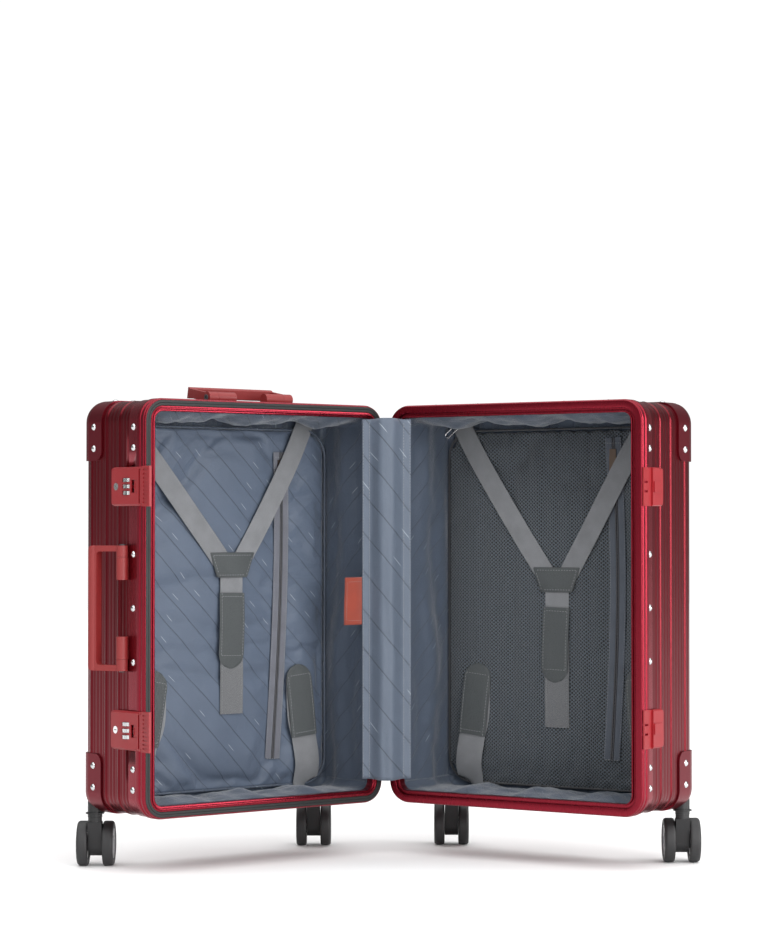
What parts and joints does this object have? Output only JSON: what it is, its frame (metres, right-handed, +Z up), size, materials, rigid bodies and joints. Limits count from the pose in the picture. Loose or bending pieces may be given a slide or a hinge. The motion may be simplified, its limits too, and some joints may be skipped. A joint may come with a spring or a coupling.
{
  "type": "hard shell suitcase on wheels",
  "caption": "Hard shell cabin suitcase in ribbed red aluminium, open on its swivel casters, with frame locks, carry handles, telescopic trolley, divider panels and strap harnesses.",
  "frame": {"origin": "middle of the open case's footprint, on the floor under the wheels", "axes": "+Z up; +Y into the depth of the back half; +X across the back half's width, from its lock wall to its hinge wall"},
  "size_m": [0.6501, 0.5234, 0.5805],
  "materials": {
    "shell_red": "ribbed sheet, red anodised, satin",
    "frame_red": "extruded section, red anodised, satin",
    "lock_red": "die cast, bright red satin paint",
    "handle_red": "moulded, orange-red satin",
    "rubber": "extruded seal, matt black",
    "rivet_steel": "bright nickel-plated steel",
    "chrome": "polished chrome plate",
    "trolley_metal": "clear anodised tube",
    "black_plastic": "moulded nylon, fine texture",
    "wheel_rubber": "dark grey tread with light grey hub discs",
    "lining_fabric": "blue-grey satin lining with a woven diagonal pattern",
    "divider_satin": "blue-grey satin panel with a woven diagonal pattern",
    "spacer_mesh": "dark grey spacer mesh with open holes",
    "webbing": "grey polyester webbing",
    "zip_metal": "dark gunmetal brown",
    "leather": "dark grey grained leather",
    "orange_tag": "plain orange woven tag"
  },
  "bodies": {
    "back_half": {"back_shell": "shell_red", "back_frame": "frame_red", "frame_seal": "rubber", "back_corner_guards": "shell_red", "back_rivets": "rivet_steel", "back_lining": "lining_fabric", "back_divider": "divider_satin", "back_straps": "webbing", "hinge_leaf_back": "frame_red", "hinge_pin": "rivet_steel", "hinge_cover": "lining_fabric", "lock_cases": "lock_red", "lock_pins": "rivet_steel", "handle_mounts": "handle_red", "handle_pins": "black_plastic", "back_caster_bases": "black_plastic", "trolley_housing": "black_plastic", "trolley_outer_tubes": "trolley_metal"},
    "front_half": {"front_shell": "shell_red", "front_frame": "frame_red", "front_corner_guards": "shell_red", "front_rivets": "rivet_steel", "front_lining": "lining_fabric", "front_divider": "spacer_mesh", "front_straps": "webbing", "hinge_leaf_front": "frame_red", "keepers": "lock_red", "front_caster_bases": "black_plastic"},
    "side_handle": {"side_handle": "handle_red"},
    "top_handle": {"top_handle": "handle_red"},
    "trolley_middle": {"trolley_middle_tubes": "trolley_metal"},
    "trolley_grip": {"trolley_inner_tubes": "trolley_metal", "trolley_grip": "black_plastic"},
    "trolley_button": {"trolley_button": "black_plastic"},
    "back_zip_slider": {"back_zip_slider": "zip_metal"},
    "front_zip_slider": {"front_zip_slider": "zip_metal"},
    "upper_dial_1": {"upper_dial_1": "chrome"},
    "upper_dial_2": {"upper_dial_2": "chrome"},
    "upper_dial_3": {"upper_dial_3": "chrome"},
    "upper_lock_button": {"upper_lock_button": "lock_red"},
    "upper_key_barrel": {"upper_key_barrel": "chrome"},
    "upper_latch": {"upper_latch": "lock_red"},
    "lower_dial_1": {"lower_dial_1": "chrome"},
    "lower_dial_2": {"lower_dial_2": "chrome"},
    "lower_dial_3": {"lower_dial_3": "chrome"},
    "lower_lock_button": {"lower_lock_button": "lock_red"},
    "lower_key_barrel": {"lower_key_barrel": "chrome"},
    "lower_latch": {"lower_latch": "lock_red"},
    "caster_fork_back_lock": {"caster_fork_back_lock": "black_plastic", "caster_axle_back_lock": "rivet_steel"},
    "caster_wheels_back_lock": {"caster_wheels_back_lock": "wheel_rubber"},
    "caster_fork_back_hinge": {"caster_fork_back_hinge": "black_plastic", "caster_axle_back_hinge": "rivet_steel"},
    "caster_wheels_back_hinge": {"caster_wheels_back_hinge": "wheel_rubber"},
    "caster_fork_front_lock": {"caster_fork_front_lock": "black_plastic", "caster_axle_front_lock": "rivet_steel"},
    "caster_wheels_front_lock": {"caster_wheels_front_lock": "wheel_rubber"},
    "caster_fork_front_hinge": {"caster_fork_front_hinge": "black_plastic", "caster_axle_front_hinge": "rivet_steel"},
    "caster_wheels_front_hinge": {"caster_wheels_front_hinge": "wheel_rubber"}
  },
  "joints": [
    {"name": "case_hinge", "type": "hinge", "parent": "back_half", "child": "front_half", "pos_m": [0.07, 0.0946, 0.3135], "axis": [0, 0, 1], "range_deg": [-105.5, 45]},
    {"name": "side_handle_hinge", "type": "hinge", "parent": "back_half", "child": "side_handle", "pos_m": [-0.3031, 0.1336, 0.3135], "axis": [0, 0, 1], "range_deg": [-20, 65]},
    {"name": "top_handle_hinge", "type": "hinge", "parent": "back_half", "child": "top_handle", "pos_m": [-0.1165, 0.1336, 0.5666], "axis": [1, 0, 0], "range_deg": [0, 80]},
    {"name": "trolley_middle_slide", "type": "slide", "parent": "back_half", "child": "trolley_middle", "axis": [0, 0, 1], "range_m": [0, 0.235]},
    {"name": "trolley_grip_slide", "type": "slide", "parent": "trolley_middle", "child": "trolley_grip", "axis": [0, 0, 1], "range_m": [0, 0.235]},
    {"name": "trolley_button_press", "type": "slide", "parent": "trolley_grip", "child": "trolley_button", "axis": [0, 0, -1], "range_m": [0, 0.003], "stiffness_N_per_m": 200, "springref_m": -0.002},
    {"name": "back_zip_slide", "type": "slide", "parent": "back_half", "child": "back_zip_slider", "axis": [0, 0, -1], "range_m": [0, 0.35]},
    {"name": "front_zip_slide", "type": "slide", "parent": "front_half", "child": "front_zip_slider", "axis": [0, 0, -1], "range_m": [0, 0.36]},
    {"name": "upper_dial_1_turn", "type": "hinge", "parent": "back_half", "child": "upper_dial_1", "pos_m": [-0.2974, 0.1257, 0.4648], "axis": [0, 0, 1], "continuous": true},
    {"name": "upper_dial_2_turn", "type": "hinge", "parent": "back_half", "child": "upper_dial_2", "pos_m": [-0.2974, 0.1257, 0.4572], "axis": [0, 0, 1], "continuous": true},
    {"name": "upper_dial_3_turn", "type": "hinge", "parent": "back_half", "child": "upper_dial_3", "pos_m": [-0.2974, 0.1257, 0.4496], "axis": [0, 0, 1], "continuous": true},
    {"name": "upper_lock_button_slide", "type": "slide", "parent": "back_half", "child": "upper_lock_button", "axis": [0, 1, 0], "range_m": [0, 0.004], "stiffness_N_per_m": 200, "springref_m": -0.002},
    {"name": "upper_key_barrel_turn", "type": "hinge", "parent": "back_half", "child": "upper_key_barrel", "pos_m": [-0.2995, 0.1458, 0.4572], "axis": [-1, 0, 0], "range_deg": [0, 90]},
    {"name": "upper_latch_hinge", "type": "hinge", "parent": "back_half", "child": "upper_latch", "pos_m": [-0.3009, 0.0967, 0.4572], "axis": [0, 0, -1], "range_deg": [0, 65]},
    {"name": "lower_dial_1_turn", "type": "hinge", "parent": "back_half", "child": "lower_dial_1", "pos_m": [-0.2974, 0.1257, 0.1774], "axis": [0, 0, 1], "continuous": true},
    {"name": "lower_dial_2_turn", "type": "hinge", "parent": "back_half", "child": "lower_dial_2", "pos_m": [-0.2974, 0.1257, 0.1698], "axis": [0, 0, 1], "continuous": true},
    {"name": "lower_dial_3_turn", "type": "hinge", "parent": "back_half", "child": "lower_dial_3", "pos_m": [-0.2974, 0.1257, 0.1622], "axis": [0, 0, 1], "continuous": true},
    {"name": "lower_lock_button_slide", "type": "slide", "parent": "back_half", "child": "lower_lock_button", "axis": [0, 1, 0], "range_m": [0, 0.004], "stiffness_N_per_m": 200, "springref_m": -0.002},
    {"name": "lower_key_barrel_turn", "type": "hinge", "parent": "back_half", "child": "lower_key_barrel", "pos_m": [-0.2995, 0.1458, 0.1698], "axis": [-1, 0, 0], "range_deg": [0, 90]},
    {"name": "lower_latch_hinge", "type": "hinge", "parent": "back_half", "child": "lower_latch", "pos_m": [-0.3009, 0.0967, 0.1698], "axis": [0, 0, -1], "range_deg": [0, 65]},
    {"name": "swivel_back_lock", "type": "hinge", "parent": "back_half", "child": "caster_fork_back_lock", "pos_m": [-0.2845, 0.2171, 0.06], "axis": [0, 0, 1], "continuous": true},
    {"name": "wheels_back_lock", "type": "hinge", "parent": "caster_fork_back_lock", "child": "caster_wheels_back_lock", "pos_m": [-0.2755, 0.22782, 0.027], "axis": [-0.766, 0.6428, 0], "continuous": true},
    {"name": "swivel_back_hinge", "type": "hinge", "parent": "back_half", "child": "caster_fork_back_hinge", "pos_m": [0.0515, 0.2171, 0.06], "axis": [0, 0, 1], "continuous": true},
    {"name": "wheels_back_hinge", "type": "hinge", "parent": "caster_fork_back_hinge", "child": "caster_wheels_back_hinge", "pos_m": [0.0605, 0.22782, 0.027], "axis": [-0.766, 0.6428, 0], "continuous": true},
    {"name": "swivel_front_lock", "type": "hinge", "parent": "front_half", "child": "caster_fork_front_lock", "pos_m": [0.28278, -0.21427, 0.06], "axis": [0, 0, 1], "continuous": true},
    {"name": "wheels_front_lock", "type": "hinge", "parent": "caster_fork_front_lock", "child": "caster_wheels_front_lock", "pos_m": [0.29178, -0.20355, 0.027], "axis": [-0.766, 0.6428, 0], "continuous": true},
    {"name": "swivel_front_hinge", "type": "hinge", "parent": "front_half", "child": "caster_fork_front_hinge", "pos_m": [0.19299, 0.10951, 0.06], "axis": [0, 0, 1], "continuous": true},
    {"name": "wheels_front_hinge", "type": "hinge", "parent": "caster_fork_front_hinge", "child": "caster_wheels_front_hinge", "pos_m": [0.20199, 0.12023, 0.027], "axis": [-0.766, 0.6428, 0], "continuous": true}
  ]
}
